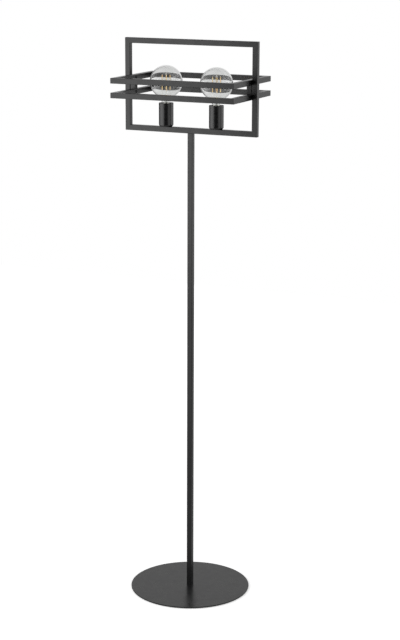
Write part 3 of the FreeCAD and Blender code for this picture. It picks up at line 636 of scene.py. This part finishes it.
def make_wires(side, axis, body, material):
    """Bent wires from the stem's press to the filaments' feet, and from its button to their tops."""
    low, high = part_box(side + "_bulb_filaments")
    stem_low, stem_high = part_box(side + "_bulb_stem")
    press = stem_low.z + STEM_PRESS_HEIGHT
    lower = (
        (STEM_PRESS * 0.7, press - WIRE_GRIP),
        (STEM_PRESS * 0.8, press + 5 * MM),
        (FILAMENT_RING * 0.75, press + 13 * MM),
        (FILAMENT_RING, low.z - 4 * MM),
        (FILAMENT_RING, low.z + WIRE_GRIP),
    )
    upper = (
        (STEM_ROD * 0.8, stem_high.z - 2.6 * MM),
        (FILAMENT_RING * 0.5, stem_high.z - 0.6 * MM),
        (FILAMENT_RING, stem_high.z - WIRE_RADIUS * 1.5),
        (FILAMENT_RING, high.z - WIRE_GRIP),
    )
    routes = []
    for _, _, angle in filament_places(axis):
        for bends in (lower, upper):
            routes.append([(axis + reach * math.cos(angle), reach * math.sin(angle), height)
                           for reach, height in bends])
    holders = wires(side + "_filament_wires", routes, WIRE_RADIUS)
    settle(holders, material, body, "filament_wire", side + "_bulb_wires")


def thread_shape(phase_height, start, end):
    """A turned shape with a round thread between two heights, which runs out smoothly at both."""
    fade = THREAD_PITCH * 0.5

    def shape(radius, height, angle):
        inside = min(height - start, end - height) / fade
        if inside <= 0:
            return radius
        swing = THREAD_SWING * min(1.0, inside)
        return radius + swing * math.cos(math.tau * (height - phase_height) / THREAD_PITCH - angle)
    return shape


def thread_rows(radius, start, end):
    """Outline points up a threaded stretch, close enough for its waves."""
    count = round((end - start) / THREAD_PITCH * THREAD_ROWS)
    return [(radius, start + (end - start) * row / count) for row in range(count + 1)]


def make_cap(side, axis, body, material):
    """Rolled screw cap of the bulb."""
    low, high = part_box(side + "_bulb_cap")
    start = low.z + CAP_FOOT
    end = high.z - CAP_TOP
    inside = THREAD_MEAN - THREAD_SHEET
    bead = end + CAP_BEAD_RISE
    outline = [
        (inside - CAP_RIM, low.z),
        (inside - 0.6 * MM, low.z + 0.2 * MM),
        (THREAD_MEAN, low.z + 1.4 * MM),
    ]
    outline += thread_rows(THREAD_MEAN, start, end)
    outline += [
        (THREAD_MEAN + CAP_BEAD, bead),
        (THREAD_MEAN + CAP_BEAD, high.z - CAP_BEAD),
        (THREAD_MEAN + CAP_BEAD / 3, high.z),
        (inside + CAP_BEAD / 3, high.z),
        (inside, bead),
    ]
    outline += thread_rows(inside, start, end)[::-1]
    outline += [
        (inside - 0.2 * MM, low.z + 1.5 * MM),
        (inside - CAP_RIM, low.z + 0.5 * MM),
    ]
    piece = turned(side + "_cap_thread", outline, [upright(axis)], segments=72,
                   shape=thread_shape(low.z, start, end))
    settle(piece, material, body, "bulb_cap", side + "_bulb_cap")


def make_shell(side, axis, material):
    """Threaded shell in the lampholder, in step with the cap's thread."""
    low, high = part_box(side + "_screw_shell")
    cap_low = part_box(side + "_bulb_cap")[0]
    inside = THREAD_MEAN + THREAD_GAP
    outside = inside + THREAD_SHEET
    start = low.z + SHELL_PLAIN
    end = high.z - SHELL_PLAIN
    outline = [(inside + THREAD_SWING, low.z), (outside + THREAD_SWING, low.z)]
    outline += thread_rows(outside, start, end)
    outline += [(outside + THREAD_SWING, high.z), (inside + THREAD_SWING, high.z)]
    outline += thread_rows(inside, start, end)[::-1]
    piece = turned(side + "_shell_thread", outline, [upright(axis)], segments=72,
                   shape=thread_shape(cap_low.z, start, end))
    settle(piece, material, "stand", "contact_brass", side + "_screw_shell")


# Screws

def make_cage_screws(material):
    """Button head screws with hexagon sockets."""
    low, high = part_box("cage_screws")
    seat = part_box("lower_right_bar")[0].x
    shank = high.x - seat
    outline = [
        (0, -shank),
        (SCREW_SHANK_RADIUS - SCREW_EDGE, -shank),
        (SCREW_SHANK_RADIUS, -shank + SCREW_EDGE),
        (SCREW_SHANK_RADIUS, 0),
        (SCREW_HEAD_RADIUS - SCREW_EDGE, 0),
        (SCREW_HEAD_RADIUS, SCREW_EDGE),
        (SCREW_HEAD_RADIUS, SCREW_EDGE * 2),
    ]
    turn = math.pi / 2 / SCREW_CROWN_STEPS
    crown = (SCREW_HEAD_HEIGHT - SCREW_EDGE * 2) / math.sin(turn * SCREW_CROWN_LAST)
    for step in range(1, SCREW_CROWN_LAST + 1):
        angle = turn * step
        outline.append((SCREW_HEAD_RADIUS * math.cos(angle), SCREW_EDGE * 2 + crown * math.sin(angle)))
    outline += [
        (SCREW_SOCKET, SCREW_HEAD_HEIGHT),
        (SCREW_SOCKET, SCREW_HEAD_HEIGHT - SCREW_SOCKET_DEPTH),
        (0, SCREW_HEAD_HEIGHT - SCREW_SOCKET_DEPTH - SCREW_EDGE),
    ]
    heights = (low.z + SCREW_HEAD_RADIUS, high.z - SCREW_HEAD_RADIUS)
    places = [facing((seat * way, 0, height), (-way, 0, 0)) for way in (-1, 1) for height in heights]
    piece = turned("cage_screw_heads", outline, places, segments=48, shape=hexagon(SCREW_SOCKET))
    settle(piece, material, "stand", "black_screw", "cage_screws")


# Finishes of the solids that are shown as they are

def dress(material, *nodes):
    """Gives solids from the frame this material."""
    for node in nodes:
        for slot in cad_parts[node].material_slots:
            slot.material = material


def both(name):
    """The node's name on the left and on the right."""
    return [side + name for side in SIDES]


def dress_solids():
    """Materials of the frame, the base, the lampholders and the wiring."""
    bars = [level + part + "_bar"
            for level in ("lower_", "upper_")
            for part in ("front", "back", "left", "right")]
    dress(powder_coat(), "base_plate", "pole", "bottom_rail", "top_rail",
          *both("_post"), *both("_spacer"), *bars)
    dress(cup_paint(), *both("_cup"))
    dress(speckled("pad_foam_black", (0.022, 0.022, 0.023), (0.040, 0.040, 0.041), 0.0015, 0.9,
                   texture=0.0006, height=0.00015), "base_pads")
    dress(speckled("grommet_rubber_black", (0.012, 0.012, 0.012), (0.020, 0.020, 0.020), 0.004, 0.55,
                   texture=0.0006, height=0.00002), "cable_grommet")
    dress(speckled("connector_nylon_white", (0.70, 0.69, 0.64), (0.78, 0.77, 0.72), 0.003, 0.45),
          "lead_connector")
    dress(speckled("phenolic_black", (0.012, 0.011, 0.010), (0.022, 0.020, 0.018), 0.003, 0.35),
          *both("_holder_base"), *both("_sleeve"))
    dress(speckled("insulator_glass_black", (0.006, 0.006, 0.008), (0.012, 0.012, 0.016), 0.003, 0.10),
          *both("_bulb_insulator"))
    dress(speckled("driver_resin_green", (0.05, 0.15, 0.07), (0.11, 0.25, 0.13), 0.003, 0.4),
          *both("_bulb_driver"))
    dress(speckled("lead_jacket_white", (0.68, 0.68, 0.66), (0.74, 0.74, 0.72), 0.002, 0.35),
          *both("_lead"))
    dress(metal("zinc_plate", (0.50, 0.50, 0.48), (0.62, 0.62, 0.60), 0.30),
          "foot_plug", "foot_screw", "head_spigot", "rivet_nuts", *both("_nipple"), *both("_nut"))
    dress(metal("contact_brass", (0.70, 0.50, 0.22), (0.80, 0.60, 0.30), 0.28), *both("_tongue"))
    dress(metal("contact_solder", (0.50, 0.50, 0.50), (0.64, 0.64, 0.63), 0.38, grain=0.002),
          *both("_bulb_contact"))


def main():
    """Dresses the whole lamp and its room."""
    make_camera()
    make_room()
    make_floor()
    make_softbox("left_softbox", **LEFT_BOX)
    make_softbox("left_softbox_skirt", **LEFT_SKIRT)
    make_softbox("right_softbox", **RIGHT_BOX)
    dress_solids()

    glass = bulb_glass()
    stem = stem_glass()
    coat = phosphor()
    nickel = metal("nickel_wire", (0.66, 0.65, 0.62), (0.78, 0.77, 0.73), 0.35, grain=0.001)
    cap_metal = metal("cap_nickel", (0.60, 0.59, 0.56), (0.70, 0.69, 0.66), 0.24, stretch=(1, 1, 4))
    shell_metal = metal("shell_brass", (0.66, 0.48, 0.22), (0.76, 0.58, 0.30), 0.30, stretch=(1, 1, 4))
    black_screw = metal("screw_black", (0.020, 0.020, 0.021), (0.035, 0.035, 0.037), 0.35, grain=0.001)
    dress(black_screw, "head_grub_screw")
    make_cage_screws(black_screw)
    for side in SIDES:
        low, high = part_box(side + "_cup")
        axis = (low.x + high.x) / 2
        body = side + "_bulb"
        make_globe(side, axis, body, glass)
        make_stem(side, axis, body, stem)
        make_strips(side, axis, body, coat)
        make_tabs(side, axis, body, nickel)
        make_wires(side, axis, body, nickel)
        make_cap(side, axis, body, cap_metal)
        make_shell(side, axis, shell_metal)

    scene = bpy.context.scene
    scene.view_settings.view_transform = "Standard"


main()
